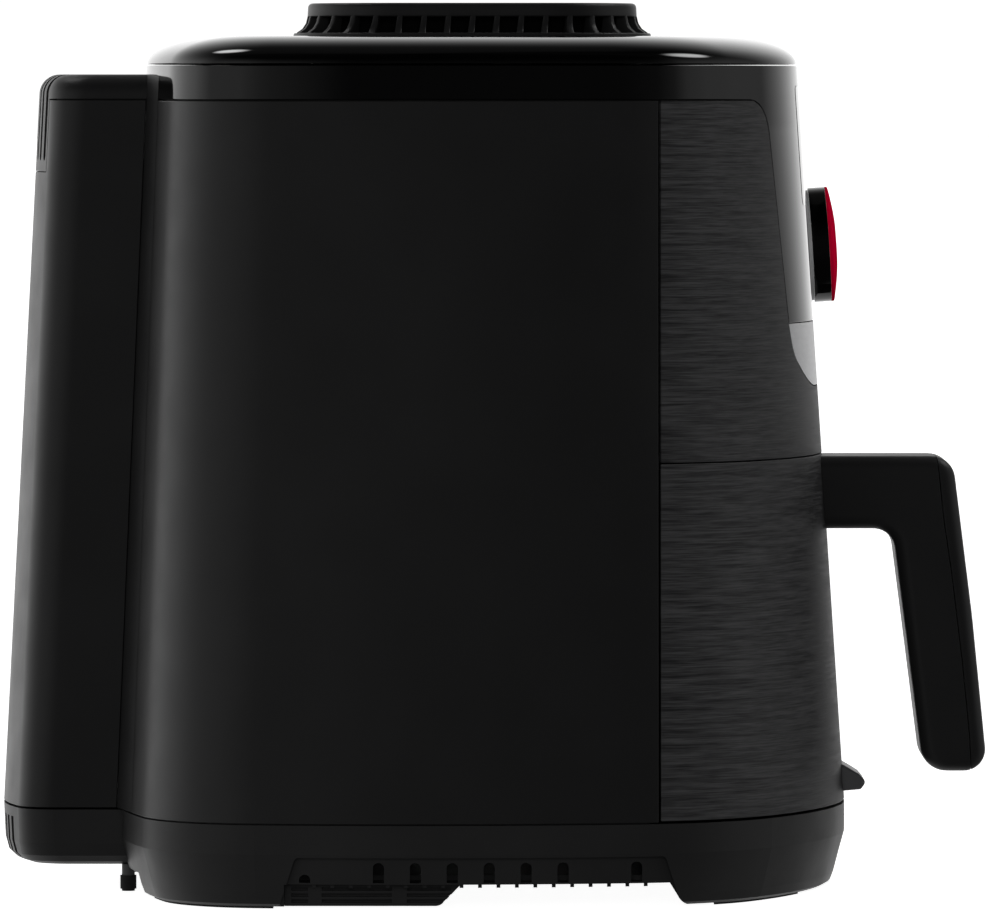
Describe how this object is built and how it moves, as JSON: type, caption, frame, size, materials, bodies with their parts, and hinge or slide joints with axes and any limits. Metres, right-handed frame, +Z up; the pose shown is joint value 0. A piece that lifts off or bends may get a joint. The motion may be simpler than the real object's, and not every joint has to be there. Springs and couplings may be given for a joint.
{
  "type": "air fryer",
  "caption": "Drawer-type air fryer with tapered black housing, brushed front, hooked handle, push dial, top intake crown and rear exhaust duct.",
  "frame": {"origin": "centre of the bounding box at the plane the feet stand on", "axes": "+Z up, front with drawer and dial towards -Y, X = 0 is the plane of symmetry"},
  "size_m": [0.284, 0.368, 0.3294],
  "materials": {
    "matte_black": "fine matte moulded",
    "base_black": "fine matte moulded",
    "gloss_black": "high gloss",
    "brushed_dark": "dark brushed, fine horizontal grain",
    "chin_grey": "satin light grey",
    "lens": "smoked gloss",
    "red_gloss": "gloss red",
    "rubber": "matte",
    "foot_post": "matte grey",
    "lip_grey": "matte dark grey",
    "steel_sheet": "mill finish",
    "screw_steel": "zinc plated",
    "nonstick": "non-stick coating",
    "heater": "oxidised sheath",
    "aluminium": "satin",
    "board_green": "solder mask",
    "inner_black": "matte",
    "copper": "enamelled winding",
    "core_steel": "laminated",
    "silicone": "soft matte"
  },
  "bodies": {
    "housing": {"base_tray": "base_black", "base_screws": "screw_steel", "foot_pads": "rubber", "rear_foot_posts": "foot_post", "rear_foot_tips": "rubber", "louvre_blocks": "base_black", "cord_gland": "rubber", "outer_shell": "matte_black", "front_fascia": "brushed_dark", "top_bezel": "gloss_black", "chin_trim": "chin_grey", "display_lens": "lens", "display_board": "board_green", "lid_cover": "gloss_black", "intake_crown": "matte_black", "crown_cap": "matte_black", "rear_duct_cover": "matte_black", "rear_duct_cap": "matte_black", "duct_fairings": "matte_black", "exhaust_duct": "steel_sheet", "cooking_chamber": "steel_sheet", "heat_shield": "steel_sheet", "front_frame": "inner_black", "drawer_rails": "steel_sheet", "heat_reflector": "aluminium", "heating_element": "heater", "element_clips": "steel_sheet", "element_guard": "screw_steel", "temperature_sensor": "screw_steel", "thermal_fuse": "screw_steel", "motor_bracket": "steel_sheet", "motor_stator": "core_steel", "stator_coils": "copper", "motor_bearings": "screw_steel", "motor_screws": "screw_steel", "power_board": "board_green", "board_pillars": "inner_black", "board_screws": "screw_steel", "safety_switch": "inner_black", "encoder_body": "inner_black"},
    "drawer": {"drawer_front": "brushed_dark", "drawer_backing": "inner_black", "drawer_pot": "nonstick", "pot_screws": "screw_steel", "drawer_rest_lip": "lip_grey", "handle_core": "matte_black", "handle_cover": "matte_black", "handle_screws": "screw_steel"},
    "crisper": {"crisper_plate": "nonstick", "plate_bumpers": "silicone"},
    "dial_carrier": {"encoder_sleeve": "inner_black"},
    "dial": {"dial_shaft": "screw_steel", "dial_knob": "gloss_black", "dial_ring": "red_gloss", "dial_cap": "gloss_black"},
    "fan_rotor": {"motor_rotor": "core_steel", "motor_shaft": "screw_steel", "cooking_fan": "aluminium", "cooling_fan": "inner_black", "fan_nut": "screw_steel"}
  },
  "joints": [
    {"name": "drawer_slide", "type": "slide", "parent": "housing", "child": "drawer", "axis": [0, -1, 0], "range_m": [0, 0.25]},
    {"name": "crisper_lift", "type": "slide", "parent": "drawer", "child": "crisper", "axis": [0, 0, 1], "range_m": [0, 0.08]},
    {"name": "dial_press", "type": "slide", "parent": "housing", "child": "dial_carrier", "axis": [0, 0.9978, -0.0658], "range_m": [0, 0.0008], "stiffness_N_per_m": 1500},
    {"name": "dial_turn", "type": "hinge", "parent": "dial_carrier", "child": "dial", "pos_m": [0, -0.11749, 0.239], "axis": [0, -0.9978, 0.0658], "continuous": true},
    {"name": "fan_spin", "type": "hinge", "parent": "housing", "child": "fan_rotor", "pos_m": [0, 0.0275, 0.22], "axis": [0, 0, 1], "continuous": true}
  ]
}
